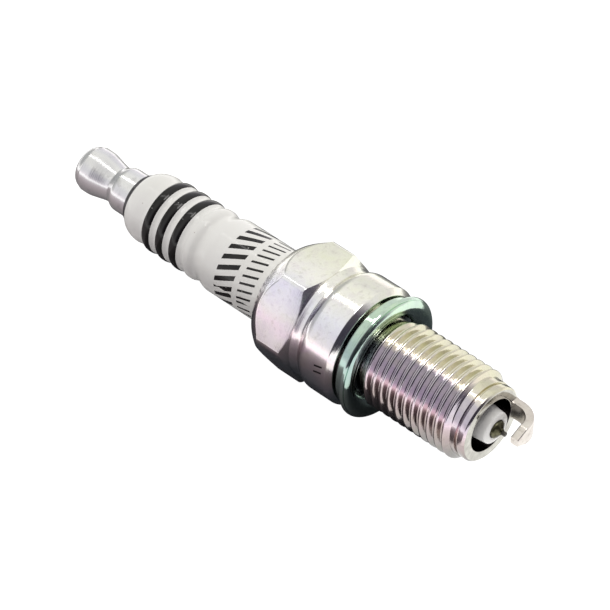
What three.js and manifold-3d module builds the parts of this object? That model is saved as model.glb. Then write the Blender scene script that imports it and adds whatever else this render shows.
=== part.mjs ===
// Spark plug for a motorcycle engine: M12 x 1.25 thread, 19 mm reach, 16 mm spanner size,
// ribbed insulator, fine-wire centre electrode, screw-on terminal nut.
// The plug lies on its side with the firing end towards +X, resting on its gasket.
// Millimetres. A station is a distance along the axis from the shell's seat face,
// positive towards the firing end. A profile point is [station, radius].
import * as THREE from 'three';
import { mergeVertices } from 'three/addons/utils/BufferGeometryUtils.js';
import Module from 'manifold-3d';

const wasm = await Module();
wasm.setup();

// ---- driving dimensions ------------------------------------------------------------------

// shell
const reach = 19; // seat face to end face
const threadMajorRadius = 5.94;
const threadPitch = 1.25;
const threadDepth = 0.72;
const threadCrestWidth = 0.2;
const threadRootWidth = 1.02;
const threadStart = 2.7; // station of the first turn, after the relief
const threadRunOut = 0.4; // turns that each end of the thread takes to fade
const reliefDepth = 0.1; // of the relief and the end collar below the thread's root
const endCollarLength = 1.35;
const runOutGroove = 0.45; // between the last turn and the end collar
const endChamfer = 0.3;
const boreRadius = 3.64; // round the insulator nose
const collarRadius = 8.2;
const collarHeight = 4.9;
const collarChamfer = 0.55;
const neckRadius = 7.6;
const neckLength = 2.8; // from the collar to the hexagon
const hexAcrossFlats = 15.76; // a 16 mm hexagon, within its forging tolerance
const hexCornerRise = 1.08; // the blank is turned to this above the flats
const hexLength = 3.6;
const hexChamferLength = 0.75;
const crimpLength = 3.35; // from the hexagon's corners to the lip
const crimpFlare = 2.4; // 1 is a quarter ellipse, more is flatter
const crimpWall = 1.1;
const chamberFloor = 1.2; // height of the chamber's lower end above the seat
const seatStep = 0.46; // of the internal step that carries the insulator
const seatStation = 7.6;

// insulator
const insulatorTop = 39.2; // height above the seat
const bodyRadius = 5.13;
const packingSpace = 1.42; // between the body and the shell's chamber
const ribCount = 4;
const ribPitch = 2.35;
const ribDepth = 0.34;
const ribStandBack = 0.16; // rib crests below the body's radius
const topShoulderRadius = 4.76;
const topShoulderLength = 2.35;
const bodyLead = 2.1; // from the lowest groove to the plain body
const flangeTop = 8.3; // height of the widest part, inside the shell
const flangeSlope = 0.9; // length of the cone above it
const noseTipRadius = 2.15;
const noseOut = 0.9; // nose tip beyond the shell's end face
const noseRootClearance = 0.34;
const insulatorBoreRadius = 1.6;
const electrodeStepStation = 4;

// terminal
const studFlangeRadius = 3.5;
const studFlangeThickness = 0.56;
const studPostRadius = 1.75;
const studPostLength = 6.6;
const studShankRadius = 1.42;
const studEndRadius = 1.15;
const studEndHeight = 14.5;
const nutLength = 9.75;
const nutBaseRadius = 3.07;
const nutBaseLength = 2.75;
const nutNeckRadius = 2.53;
const nutHeadRadius = 3.15;
const nutEndRadius = 2.35;

// electrodes
const electrodeRadius = 1.17;
const electrodeHeadRadius = 1.42;
const electrodeHeadLength = 2.2;
const coneBaseOut = 1.15; // beyond the shell's end face
const coneTipOut = 1.75;
const coneTipRadius = 0.42;
const coreRadius = 0.62;
const coreEndOut = -1.5; // the copper stops inside the nose
const wireRadius = 0.3;
const wireLength = 0.85;
const wireSunk = 0.3;
const sparkGap = 0.9;
const groundThickness = 1.15;
const groundWidth = 2.6;
const groundTipWidth = 1.05;
const groundTaperLength = 1.7;
const groundBendRadius = 2.05; // inside of the bend
const groundPastAxis = 0.2;
const groundAngle = 1.5; // degrees from +Y towards +Z

// internal stack and packing
const sealWall = 0.2;
const sealPocket = 1.5;
const resistorTop = 12.6;
const resistorBottom = 3.2;
const seatWasherThickness = 0.35;

// gasket, folded from thin sheet
const gasketWidth = 2.41; // outer radius beyond the thread's
const gasketGrip = 0.44; // of the lip under the thread's crests
const gasketThickness = 2.35;
const gasketSheet = 0.42;
const gasketRoll = 1.15; // height of the rolled front edge
const gasketRollSquash = 0.7; // the roll's length to its height
const gasketRearDrop = 0.75; // the rear fold's radius below the roll's

// clearances
const stackGap = 0.05; // between pieces stacked along the axis
const sleeveGap = 0.13; // between a turned piece and the bore round it
const gasketBackGap = 0.45; // gasket to seat face

// facets
const coarseFacets = 20;
const roundFacets = 24;
const threadFacets = 24;

// ---- solids --------------------------------------------------------------------------------

// A geometry with shared vertices and no collapsed triangles, turned inside out if its
// faces point in.
function closed(geometry) {
  const bare = geometry.clone();
  bare.deleteAttribute('normal');
  bare.deleteAttribute('uv');
  const merged = mergeVertices(bare, 1e-5);
  const position = merged.getAttribute('position');
  const source = merged.getIndex().array;
  const kept = [];
  const a = new THREE.Vector3();
  const b = new THREE.Vector3();
  const c = new THREE.Vector3();
  let volume = 0;
  for (let i = 0; i < source.length; i += 3) {
    const [p, q, r] = [source[i], source[i + 1], source[i + 2]];
    if (p === q || q === r || r === p) continue;
    kept.push(p, q, r);
    a.fromBufferAttribute(position, p);
    b.fromBufferAttribute(position, q);
    c.fromBufferAttribute(position, r);
    volume += a.dot(b.cross(c));
  }
  if (volume < 0) kept.reverse();
  merged.setIndex(kept);
  return merged;
}

function toSolid(geometry) {
  const shape = closed(geometry);
  return new wasm.Manifold(new wasm.Mesh({
    numProp: 3,
    vertProperties: new Float32Array(shape.getAttribute('position').array),
    triVerts: new Uint32Array(shape.getIndex().array),
  }));
}

function toGeometry(solid) {
  const mesh = solid.getMesh();
  const geometry = new THREE.BufferGeometry();
  geometry.setAttribute('position', new THREE.BufferAttribute(mesh.vertProperties, 3));
  geometry.setIndex(new THREE.BufferAttribute(mesh.triVerts, 1));
  return geometry;
}

// Spins [station, radius] points about the X axis. A profile that leaves the axis is closed
// on itself.
function turned(profile, facets = roundFacets) {
  const points = profile.map(([station, radius]) => new THREE.Vector2(radius, station));
  const [first, last] = [profile[0], profile[profile.length - 1]];
  if (first[1] > 0 || last[1] > 0) points.push(points[0].clone());
  const geometry = new THREE.LatheGeometry(points, facets);
  geometry.rotateZ(-Math.PI / 2);
  return closed(geometry);
}

// Points of an arc in a profile; angles in degrees, 0 towards +station, 90 outwards.
function arc(station, radius, size, from, to, steps, stretch = 1) {
  const points = [];
  for (let i = 0; i <= steps; i += 1) {
    const angle = THREE.MathUtils.degToRad(from + ((to - from) * i) / steps);
    points.push([station + stretch * size * Math.cos(angle), radius + size * Math.sin(angle)]);
  }
  return points;
}

// ---- shell ---------------------------------------------------------------------------------

const threadMinorRadius = threadMajorRadius - threadDepth;
const reliefRadius = threadMinorRadius - reliefDepth;
const threadEnd = reach - endCollarLength - runOutGroove;
const neckHeight = collarHeight + neckLength / 3;
const hexBottom = collarHeight + neckLength;
const hexTop = hexBottom + hexLength;
const crimpTop = hexTop + crimpLength;
const hexCornerRadius = hexAcrossFlats / 2 + hexCornerRise;
const legBoreRadius = boreRadius + seatStep;
const chamberRadius = bodyRadius + packingSpace;

// One tooth section swept along a straight bar, then wound round the axis as a helix. The
// tooth sinks into the core at both ends, so each end of the thread runs out.
function threadTooth() {
  const turns = (threadEnd - threadStart) / threadPitch;
  const steps = Math.round(turns * threadFacets);
  const sunk = 0.12; // of the tooth's foot in the core
  const section = new THREE.Shape();
  section.moveTo(-threadRootWidth / 2, -sunk);
  section.lineTo(-threadCrestWidth / 2, threadDepth);
  section.lineTo(threadCrestWidth / 2, threadDepth);
  section.lineTo(threadRootWidth / 2, -sunk);
  section.closePath();
  const bar = new THREE.ExtrudeGeometry(section, { depth: turns, steps, bevelEnabled: false });
  const position = bar.getAttribute('position');
  for (let i = 0; i < position.count; i += 1) {
    const turn = position.getZ(i);
    const fade = Math.min(1, turn / threadRunOut, (turns - turn) / threadRunOut);
    const height = Math.min(position.getY(i), fade * (threadDepth + sunk) - sunk / 2);
    const radius = threadMinorRadius + height;
    const station = threadStart + turn * threadPitch + position.getX(i);
    // a right-hand helix about +X
    const angle = turn * 2 * Math.PI;
    position.setXYZ(i, station, radius * Math.cos(angle), radius * Math.sin(angle));
  }
  return bar;
}

function hexagonPrism(from, to) {
  const flat = hexAcrossFlats / 2;
  const prism = new THREE.CylinderGeometry(
    flat / Math.cos(Math.PI / 6), flat / Math.cos(Math.PI / 6), to - from, 6);
  prism.rotateY(Math.PI / 2);
  prism.rotateZ(-Math.PI / 2);
  prism.translate((from + to) / 2, 0, 0);
  return prism;
}

const crimpInnerRadius = bodyRadius + sleeveGap;
const lipThickness = 0.35;

function shellProfile() {
  const crimpArc = [];
  const crimpSteps = 7;
  const lipOuterRadius = crimpInnerRadius + lipThickness;
  for (let i = 0; i <= crimpSteps; i += 1) {
    const angle = (i / crimpSteps) * (Math.PI / 2);
    const radius = lipOuterRadius + (hexCornerRadius - lipOuterRadius) * Math.sin(angle);
    crimpArc.push([-hexTop - crimpLength * Math.cos(angle) ** crimpFlare, radius]);
  }
  return [
    [-crimpTop, crimpInnerRadius],
    ...crimpArc,
    [-hexBottom, hexCornerRadius],
    [-hexBottom + hexChamferLength, hexAcrossFlats / 2 - 0.12],
    [-neckHeight, neckRadius],
    [-collarHeight - 0.3, collarRadius - 0.22],
    [-collarHeight + 0.2, collarRadius],
    [-collarChamfer, collarRadius],
    [0, collarRadius - collarChamfer],
    [0, reliefRadius],
    [threadStart, reliefRadius],
    [threadStart, threadMinorRadius],
    [threadEnd, threadMinorRadius],
    [threadEnd + runOutGroove / 2, threadMinorRadius - 2 * reliefDepth],
    [reach - endCollarLength, reliefRadius],
    [reach - endChamfer, reliefRadius],
    [reach, reliefRadius - endChamfer],
    [reach, boreRadius],
    [seatStation + 0.5, boreRadius],
    [seatStation, legBoreRadius],
    [-chamberFloor + (chamberRadius - legBoreRadius) * 0.6, legBoreRadius],
    [-chamberFloor, chamberRadius],
    [-crimpTop + crimpWall + 1.1, chamberRadius],
    [-crimpTop + crimpWall, crimpInnerRadius],
  ];
}

function shell() {
  const blank = toSolid(turned(shellProfile()));
  const zone = [-crimpTop - 1, -neckHeight];
  const waste = toSolid(turned([
    [zone[0], hexAcrossFlats / 4],
    [zone[0], hexCornerRadius + 1],
    [zone[1], hexCornerRadius + 1],
    [zone[1], hexAcrossFlats / 4],
  ])).subtract(toSolid(hexagonPrism(zone[0] - 1, zone[1] + 1)));
  return toGeometry(blank.subtract(waste).add(toSolid(threadTooth())));
}

// ---- insulator -----------------------------------------------------------------------------

const flangeRadius = chamberRadius - sleeveGap;
const legRadius = legBoreRadius - sleeveGap;
const noseTip = reach + noseOut;
const noseBoreRadius = electrodeRadius + sleeveGap / 2;
const noseRootRadius = boreRadius - noseRootClearance;
const ribRadius = bodyRadius - ribStandBack;
const topShoulderHeight = insulatorTop - topShoulderLength;
const ribsTop = topShoulderHeight - ribPitch / 2; // groove under the shoulder
const ribsBottom = ribsTop - ribCount * ribPitch;
const bodyTop = ribsBottom - bodyLead;
const topEdgeRadius = studFlangeRadius + stackGap;

function ribProfile() {
  const points = [];
  const perRib = 4;
  for (let i = 0; i <= ribCount * perRib; i += 1) {
    const wave = (1 + Math.cos((2 * Math.PI * i) / perRib)) / 2;
    points.push([-(ribsTop - (i / perRib) * ribPitch), ribRadius - ribDepth * wave]);
  }
  return points;
}

function insulator() {
  const shoulder = [];
  const steps = 5;
  for (let i = 0; i <= steps; i += 1) {
    const angle = (i / steps) * (Math.PI / 2);
    const radius = topEdgeRadius + (topShoulderRadius - topEdgeRadius) * Math.sin(angle);
    shoulder.push([
      -topShoulderHeight - (insulatorTop - topShoulderHeight) * Math.cos(angle), radius]);
  }
  return turned([
    [-insulatorTop, insulatorBoreRadius],
    ...shoulder,
    ...ribProfile(),
    [-(bodyTop + bodyLead / 2), bodyRadius - ribStandBack],
    [-bodyTop, bodyRadius],
    [-flangeTop - flangeSlope, bodyRadius],
    [-flangeTop, flangeRadius],
    [-chamberFloor - sleeveGap, flangeRadius],
    [-chamberFloor + (chamberRadius - legBoreRadius) * 0.6 - sleeveGap, legRadius],
    [seatStation - seatWasherThickness - 0.3, legRadius],
    [seatStation - seatWasherThickness + 0.1, noseRootRadius],
    [noseTip - 0.25, noseTipRadius],
    [noseTip, noseTipRadius - 0.25],
    [noseTip, noseBoreRadius],
    [electrodeStepStation + stackGap, noseBoreRadius],
    [electrodeStepStation, insulatorBoreRadius],
  ]);
}

// ---- terminal ------------------------------------------------------------------------------

const flangeFace = insulatorTop + stackGap; // height of the stud flange's lower face
const nutSeat = flangeFace + studFlangeThickness + stackGap;
const nutTop = nutSeat + nutLength;

function terminalStud() {
  return turned([
    [-(nutSeat + studPostLength), 0],
    [-(nutSeat + studPostLength), studPostRadius - 0.3],
    [-(nutSeat + studPostLength - 0.3), studPostRadius],
    [-(flangeFace + studFlangeThickness), studPostRadius],
    [-(flangeFace + studFlangeThickness), studFlangeRadius],
    [-flangeFace, studFlangeRadius],
    [-flangeFace, studShankRadius],
    [-(studEndHeight + sealPocket), studShankRadius],
    [-(studEndHeight + sealPocket - 0.1), studEndRadius],
    [-studEndHeight, studEndRadius],
    [-studEndHeight, 0],
  ], coarseFacets);
}

function terminalNut() {
  const boreDepth = studPostLength + 0.3;
  const threadedBoreRadius = studPostRadius + sleeveGap;
  const headStart = nutTop - 3.3;
  return turned([
    [-nutTop, 0],
    [-nutTop, nutEndRadius - 0.2],
    ...arc(-(nutTop - 1.2), nutHeadRadius - 1, 1, 150, 90, 3),
    [-headStart, nutHeadRadius - 0.04],
    [-(headStart - 1.2), nutNeckRadius + 0.18],
    [-(nutSeat + nutBaseLength + 1.6), nutNeckRadius],
    [-(nutSeat + nutBaseLength + 1), nutNeckRadius + 0.02],
    [-(nutSeat + nutBaseLength), nutBaseRadius],
    [-(nutSeat + 0.12), nutBaseRadius],
    [-nutSeat, nutBaseRadius - 0.12],
    [-nutSeat, threadedBoreRadius],
    [-(nutSeat + boreDepth), threadedBoreRadius],
    [-(nutSeat + boreDepth), 0],
  ], coarseFacets);
}

// ---- conductor stack in the bore -----------------------------------------------------------

const sealRadius = insulatorBoreRadius - sleeveGap / 2;
const electrodeTop = electrodeStepStation - stackGap - electrodeHeadLength;

function upperGlassSeal() {
  const top = -(studEndHeight + sealPocket - 0.15);
  return turned([
    [top, studEndRadius + stackGap],
    [top, sealRadius],
    [-(resistorTop + stackGap), sealRadius],
    [-(resistorTop + stackGap), 0],
    [-(studEndHeight - stackGap), 0],
    [-(studEndHeight - stackGap), studEndRadius + stackGap],
  ], coarseFacets);
}

function resistor() {
  return turned([
    [-resistorTop, 0],
    [-resistorTop, sealRadius],
    [-resistorBottom, sealRadius],
    [-resistorBottom, 0],
  ], coarseFacets);
}

const electrodeHeadTip = electrodeTop + 1.2; // the narrow top of the head, inside the glass

function lowerGlassSeal() {
  const pocket = electrodeTop - stackGap;
  return turned([
    [-(resistorBottom - stackGap), 0],
    [-(resistorBottom - stackGap), sealRadius],
    [electrodeHeadTip - stackGap, sealRadius],
    [electrodeHeadTip - stackGap, sealRadius - sealWall],
    [pocket, sealRadius - sealWall],
    [pocket, 0],
  ], coarseFacets);
}

function centreElectrode() {
  const pocketRadius = coreRadius + stackGap;
  return turned([
    [electrodeTop, pocketRadius],
    [electrodeTop, sealRadius - sealWall - stackGap],
    [electrodeHeadTip, sealRadius - sealWall - stackGap],
    [electrodeHeadTip, electrodeHeadRadius],
    [electrodeStepStation - stackGap, electrodeHeadRadius],
    [electrodeStepStation - stackGap, electrodeRadius],
    [reach + coneBaseOut, electrodeRadius],
    [reach + coneTipOut, coneTipRadius],
    [reach + coneTipOut, wireRadius + stackGap / 2],
    [reach + coneTipOut - wireSunk - stackGap, wireRadius + stackGap / 2],
    [reach + coneTipOut - wireSunk - stackGap, 0],
    [reach + coreEndOut + stackGap, 0],
    [reach + coreEndOut + stackGap, pocketRadius],
  ], coarseFacets);
}

function copperCore() {
  return turned([
    [electrodeTop, 0],
    [electrodeTop, coreRadius],
    [reach + coreEndOut, coreRadius],
    [reach + coreEndOut, 0],
  ], coarseFacets / 2);
}

const wireTip = reach + coneTipOut - wireSunk + wireLength;

function fineWireTip() {
  return turned([
    [reach + coneTipOut - wireSunk, 0],
    [reach + coneTipOut - wireSunk, wireRadius],
    [wireTip, wireRadius],
    [wireTip, 0],
  ], coarseFacets / 2);
}

// ---- packing between insulator and shell ---------------------------------------------------

const annulusRadius = (bodyRadius + chamberRadius) / 2;
const packingWireRadius = packingSpace / 2 - sleeveGap;
const lowerWireHeight = flangeTop + flangeSlope / 2 + 1.3 * packingWireRadius;
const upperWireHeight = crimpTop - crimpWall - 1.6 - packingWireRadius;

function packingRing(height) {
  return turned(arc(-height, annulusRadius, packingWireRadius, 0, 315, 7));
}

function talcRing() {
  const top = -(upperWireHeight - packingWireRadius - stackGap);
  const bottom = -(lowerWireHeight + packingWireRadius + stackGap);
  return turned([
    [top, bodyRadius + stackGap],
    [top, chamberRadius - stackGap],
    [bottom, chamberRadius - stackGap],
    [bottom, bodyRadius + stackGap],
  ]);
}

function seatWasher() {
  const back = seatStation - seatWasherThickness + 0.12;
  const inner = noseRootRadius + sleeveGap;
  const outer = legBoreRadius - sleeveGap;
  return turned([
    [back, inner],
    [back, outer - 0.2],
    [back + 0.2, outer - 0.2],
    [back + 0.2, inner],
  ], coarseFacets);
}

// ---- gasket --------------------------------------------------------------------------------

// One strip folded over three times: back face, outer roll, front face, and a lip turned
// back inside that holds it on the thread.
const gasketOuterRadius = threadMajorRadius + gasketWidth;

function gasket() {
  const back = gasketBackGap;
  const front = back + gasketThickness;
  const gasketLipRadius = threadMajorRadius - gasketGrip;
  const rollMiddle = front - gasketRoll * gasketRollSquash;
  const rollRadius = gasketOuterRadius - gasketRoll;
  const rearRadius = gasketOuterRadius - gasketRearDrop;
  const rearEnd = rollMiddle - 0.3;
  const inner = gasketRoll - gasketSheet;
  return turned([
    [back, gasketLipRadius + 0.9],
    [back, rearRadius - 0.2],
    [back + 0.2, rearRadius],
    [rearEnd, rearRadius],
    ...arc(rollMiddle, rollRadius, gasketRoll, 96, 0, 6, gasketRollSquash),
    [front, gasketLipRadius + 0.9],
    [front - 0.6, gasketLipRadius + 0.12],
    [front - 0.9, gasketLipRadius],
    [front - 1, gasketLipRadius + gasketSheet],
    [front - gasketSheet, gasketLipRadius + 1],
    ...arc(rollMiddle, rollRadius, inner, 0, 90, 3, gasketRollSquash * 0.75),
    [rearEnd + 0.1, rearRadius - gasketSheet],
    [back + gasketSheet, rearRadius - gasketSheet],
    [back + gasketSheet, gasketLipRadius + 0.9],
  ], roundFacets);
}

// ---- ground electrode ----------------------------------------------------------------------

const groundInnerFace = wireTip + sparkGap;
const groundOuterFace = groundInnerFace + groundThickness;

// A flat bar welded to the end face and bent over the centre electrode, its tip tapered.
function groundElectrode() {
  const rootMiddle = (boreRadius + reliefRadius - endChamfer) / 2;
  const rootInner = rootMiddle - groundThickness / 2;
  const rootOuter = rootInner + groundThickness;
  const bendCentre = [groundInnerFace - groundBendRadius, rootInner - groundBendRadius];
  const outerBend = groundBendRadius + groundThickness;
  const side = new THREE.Shape();
  side.moveTo(reach + stackGap / 2, rootInner);
  side.absarc(bendCentre[0], bendCentre[1], groundBendRadius, Math.PI / 2, 0, true);
  side.lineTo(groundInnerFace, -groundPastAxis);
  side.lineTo(groundOuterFace, -groundPastAxis);
  side.absarc(bendCentre[0], bendCentre[1], outerBend, 0, Math.PI / 2, false);
  side.lineTo(reach + stackGap / 2, rootOuter);
  side.closePath();
  const bar = new THREE.ExtrudeGeometry(side, {
    depth: groundWidth, steps: 1, bevelEnabled: false, curveSegments: 6,
  });
  bar.translate(0, 0, -groundWidth / 2);
  const plan = new THREE.Shape();
  plan.moveTo(-groundPastAxis - 0.01, -groundTipWidth / 2);
  plan.lineTo(-groundPastAxis + groundTaperLength, -groundWidth / 2 - 0.01);
  plan.lineTo(rootOuter + 1, -groundWidth / 2 - 0.01);
  plan.lineTo(rootOuter + 1, groundWidth / 2 + 0.01);
  plan.lineTo(-groundPastAxis + groundTaperLength, groundWidth / 2 + 0.01);
  plan.lineTo(-groundPastAxis - 0.01, groundTipWidth / 2);
  plan.closePath();
  const depth = groundOuterFace - reach + 2;
  const taper = new THREE.ExtrudeGeometry(plan, { depth, steps: 1, bevelEnabled: false });
  // the plan's x runs out from the axis and its y across the bar
  taper.applyMatrix4(new THREE.Matrix4().makeBasis(
    new THREE.Vector3(0, 1, 0), new THREE.Vector3(0, 0, 1), new THREE.Vector3(1, 0, 0)));
  taper.translate(reach - 1, 0, 0);
  const solid = toSolid(bar).intersect(toSolid(taper));
  const geometry = toGeometry(solid);
  geometry.rotateX(THREE.MathUtils.degToRad(groundAngle));
  return geometry;
}

// ---- assembly ------------------------------------------------------------------------------

const finishes = {
  zincPlate: { color: 0xc9c7c4, roughness: 0.25, metalness: 1 },
  greenZinc: { color: 0xb9c8bc, roughness: 0.2, metalness: 1 },
  glaze: { color: 0xebebe8, roughness: 0.12, metalness: 0 },
  brightNickel: { color: 0xd9dadb, roughness: 0.18, metalness: 1 },
  darkSteel: { color: 0x4a4b4e, roughness: 0.45, metalness: 0.9 },
  copperGlass: { color: 0x6e4a3a, roughness: 0.6, metalness: 0.1 },
  carbonGlass: { color: 0x2c2c2e, roughness: 0.7, metalness: 0 },
  nickelAlloy: { color: 0x8b8a84, roughness: 0.35, metalness: 1 },
  copper: { color: 0xc4764a, roughness: 0.35, metalness: 1 },
  iridium: { color: 0x55554f, roughness: 0.3, metalness: 1 },
  talc: { color: 0xd8d4c8, roughness: 0.95, metalness: 0 },
  packingSteel: { color: 0x9a9a98, roughness: 0.4, metalness: 1 },
};

const plug = new THREE.Group();

function place(name, geometry, finish) {
  const mesh = new THREE.Mesh(geometry, new THREE.MeshStandardMaterial(finishes[finish]));
  mesh.name = name;
  plug.add(mesh);
}

place('shell', shell(), 'zincPlate');
place('gasket', gasket(), 'greenZinc');
place('insulator', insulator(), 'glaze');
place('terminal_nut', terminalNut(), 'brightNickel');
place('terminal_stud', terminalStud(), 'darkSteel');
place('upper_glass_seal', upperGlassSeal(), 'copperGlass');
place('resistor', resistor(), 'carbonGlass');
place('lower_glass_seal', lowerGlassSeal(), 'copperGlass');
place('centre_electrode', centreElectrode(), 'nickelAlloy');
place('copper_core', copperCore(), 'copper');
place('fine_wire_tip', fineWireTip(), 'iridium');
place('upper_packing_ring', packingRing(upperWireHeight), 'packingSteel');
place('talc_filling', talcRing(), 'talc');
place('lower_packing_ring', packingRing(lowerWireHeight), 'packingSteel');
place('insulator_seat_washer', seatWasher(), 'packingSteel');
place('ground_electrode', groundElectrode(), 'nickelAlloy');

// The origin is under the middle of the plug's length, on the surface it lies on.
plug.position.set((nutTop - groundOuterFace) / 2, 0, gasketOuterRadius);

const part = new THREE.Group();
part.add(plug);

export default part;
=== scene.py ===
import math

import bmesh
import bpy
from mathutils import Matrix, Vector


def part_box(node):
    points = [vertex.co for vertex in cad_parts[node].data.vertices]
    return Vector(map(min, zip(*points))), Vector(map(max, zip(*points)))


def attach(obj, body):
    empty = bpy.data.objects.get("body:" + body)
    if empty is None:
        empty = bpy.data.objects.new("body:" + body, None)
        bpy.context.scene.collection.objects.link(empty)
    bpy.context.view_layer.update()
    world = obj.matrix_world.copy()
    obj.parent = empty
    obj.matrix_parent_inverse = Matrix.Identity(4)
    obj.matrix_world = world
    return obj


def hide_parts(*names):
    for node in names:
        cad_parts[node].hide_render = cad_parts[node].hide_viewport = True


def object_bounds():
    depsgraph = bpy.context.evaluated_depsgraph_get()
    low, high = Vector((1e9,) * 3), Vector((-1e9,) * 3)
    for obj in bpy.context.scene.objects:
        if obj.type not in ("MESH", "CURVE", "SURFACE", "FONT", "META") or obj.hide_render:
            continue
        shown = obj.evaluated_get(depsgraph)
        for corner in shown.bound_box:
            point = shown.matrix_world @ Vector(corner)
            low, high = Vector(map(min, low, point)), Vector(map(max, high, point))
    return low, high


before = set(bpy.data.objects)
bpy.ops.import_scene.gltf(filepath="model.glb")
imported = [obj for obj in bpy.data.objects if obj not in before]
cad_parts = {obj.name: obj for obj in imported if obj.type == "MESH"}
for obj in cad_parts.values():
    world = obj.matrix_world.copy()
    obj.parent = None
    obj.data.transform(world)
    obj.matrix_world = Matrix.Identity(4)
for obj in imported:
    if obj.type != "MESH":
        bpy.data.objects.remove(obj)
cad_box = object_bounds()

# ---- shell -----------------------------------------------------------------------------------
# The plug's steel body, cold-forged from one blank: crimped shoulder, hexagon, neck, collar,
# rolled M12 thread and end collar. Zinc plated, with a clear passivation that shows pale green
# to lilac tints. Its colour round the plug also carries painted shade underneath, painted light
# on top and painted highlight bands.
MM = 0.001
# Sizes are in millimetres. A station counts from the gasket seat towards the firing end, and a
# height counts from the seat towards the terminal.
REACH = 19.0
shell_low, shell_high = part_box("shell")
seat_x = shell_high.x - REACH * MM
axis_z = (shell_low.z + shell_high.z) / 2
crimp_top = (seat_x - shell_low.x) / MM

THREAD_RADIUS = 5.94
THREAD_PITCH = 1.25
THREAD_DEPTH = 0.72
THREAD_TURNS = 11
THREAD_START = 3.15
THREAD_CREST = 0.2
THREAD_FADE = 0.35
COLLAR_RADIUS = 8.2
COLLAR_HEIGHT = 4.9
NECK_RADIUS = 7.6
NECK_HEIGHT = 5.85
HEX_HALF = 7.88
HEX_CORNER = 8.95
HEX_BOTTOM = 7.7
HEX_TOP = 11.3
CRIMP_FLARE = 2.4
HEX_CHAMFER = 0.75
LIP_INNER = 5.27
LIP_OUTER = 5.66
LIP_DEPTH = 0.9
LIP_ANGLE = 16
COLUMN_STEP = 2.5
BORE_RADIUS = 3.64
LEG_BORE = 4.1
CHAMBER_RADIUS = 6.55
CHAMBER_FLOOR = 1.2
BORE_STEP = 7.6
RELIEF_RADIUS = 5.12
END_COLLAR_START = 17.9
END_GROOVE = 0.3
STROKE_STATION = -1.9
STROKE_LENGTH = 1.24
STROKE_HALF_ANGLE = 0.016
STROKE_LEAN = 0.03
STROKE_ANGLES = (2.98, 3.09)
FILM_CHANGE = 1.2


def on_plug(station, radius, angle):
    """A point of the plug: station in mm from the seat towards the firing end."""
    return (seat_x + station * MM, radius * math.cos(angle) * MM,
            axis_z + radius * math.sin(angle) * MM)


def softened(corners, steps=4):
    """Rounds each (station, radius, softness) corner of an outline with a short curve."""
    points = []
    for i, (x, r, soft) in enumerate(corners):
        if soft == 0 or i in (0, len(corners) - 1):
            points.append((x, r))
            continue
        here = Vector((x, r))
        before = Vector(corners[i - 1][:2]) - here
        after = Vector(corners[i + 1][:2]) - here
        start = here + before.normalized() * min(soft, 0.48 * before.length)
        end = here + after.normalized() * min(soft, 0.48 * after.length)
        for k in range(steps + 1):
            t = k / steps
            p = start * (1 - t) ** 2 + here * 2 * t * (1 - t) + end * t ** 2
            points.append((p.x, p.y))
    return points


def mesh_piece(name, points, faces, sharp=38):
    """A smooth-shaded piece whose faces are turned outwards."""
    mesh = bpy.data.meshes.new(name)
    mesh.from_pydata(points, [], faces)
    mesh.validate()
    bm = bmesh.new()
    bm.from_mesh(mesh)
    bmesh.ops.remove_doubles(bm, verts=bm.verts, dist=1e-8)
    bmesh.ops.recalc_face_normals(bm, faces=bm.faces)
    bm.to_mesh(mesh)
    bm.free()
    for face in mesh.polygons:
        face.use_smooth = True
    mesh.set_sharp_from_angle(angle=math.radians(sharp))
    piece = bpy.data.objects.new(name, mesh)
    bpy.context.scene.collection.objects.link(piece)
    return piece


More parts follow.
